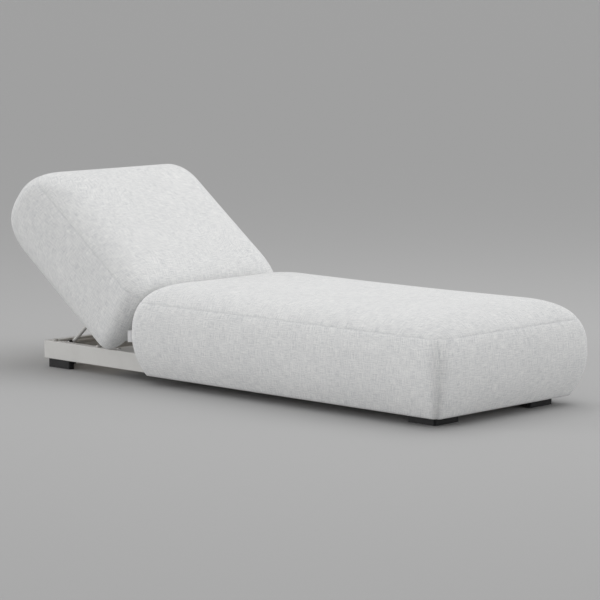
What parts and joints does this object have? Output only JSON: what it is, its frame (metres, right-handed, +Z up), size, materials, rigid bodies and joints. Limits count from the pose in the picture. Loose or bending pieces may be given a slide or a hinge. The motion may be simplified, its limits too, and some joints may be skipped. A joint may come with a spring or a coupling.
{
  "type": "chaise longue",
  "caption": "Low upholstered outdoor chaise longue: a rail frame on corner feet, a thick seat pod and a backrest pod that tilts on a hinge and is held by a folding prop.",
  "frame": {"origin": "on the floor, in the middle of the part's outline with the backrest raised", "axes": "+X to the foot end, +Y to the left of a person lying on it, +Z up"},
  "size_m": [2.1167, 0.802, 0.7157],
  "materials": {
    "upholstery": "light grey heathered weave",
    "foam": "open cell foam",
    "frame_paint": "off-white powder coat",
    "black_plastic": "matt",
    "bumper_rubber": "matt",
    "steel": "zinc plated",
    "slat_wood": "plain beech",
    "board_wood": "plain plywood"
  },
  "bodies": {
    "base": {"left_side_rail": "frame_paint", "right_side_rail": "frame_paint", "head_rail": "frame_paint", "foot_rail": "frame_paint", "rail_end_caps": "frame_paint", "hinge_cross_plate": "frame_paint", "left_hinge_lug": "frame_paint", "right_hinge_lug": "frame_paint", "left_prop_ledge": "frame_paint", "right_prop_ledge": "frame_paint", "head_right_foot": "black_plastic", "foot_right_foot": "black_plastic", "foot_left_foot": "black_plastic", "head_left_foot": "black_plastic", "left_hinge_pin": "steel", "right_hinge_pin": "steel", "rest_bumpers": "bumper_rubber", "seat_slats": "slat_wood", "seat_foam": "foam", "seat_left_skirt": "foam", "seat_right_skirt": "foam", "seat_foot_skirt": "foam", "seat_cover": "upholstery"},
    "backrest": {"backrest_left_tube": "frame_paint", "backrest_right_tube": "frame_paint", "backrest_lower_tube": "frame_paint", "backrest_middle_tube": "frame_paint", "backrest_upper_tube": "frame_paint", "backrest_board": "board_wood", "left_hinge_arm": "frame_paint", "right_hinge_arm": "frame_paint", "left_ratchet_hub": "steel", "right_ratchet_hub": "steel", "backrest_foam": "foam", "backrest_left_skirt": "foam", "backrest_right_skirt": "foam", "backrest_head_skirt": "foam", "backrest_cover": "upholstery"},
    "prop": {"left_prop_arm": "frame_paint", "right_prop_arm": "frame_paint", "prop_cross_rod": "frame_paint", "prop_glides": "black_plastic", "prop_pivot_pins": "steel"}
  },
  "joints": [
    {"name": "backrest_recline", "type": "hinge", "parent": "base", "child": "backrest", "pos_m": [-0.4127, 0, 0.19], "axis": [0, 1, 0], "range_deg": [-37.2, 0]},
    {"name": "prop_swing", "type": "hinge", "parent": "backrest", "child": "prop", "pos_m": [-0.66059, 0, 0.24383], "axis": [0, 1, 0], "range_deg": [0, 79.5]}
  ],
  "couplings": [
    {"joint": "prop_swing", "follows": "backrest_recline", "ratio": -2.13}
  ]
}
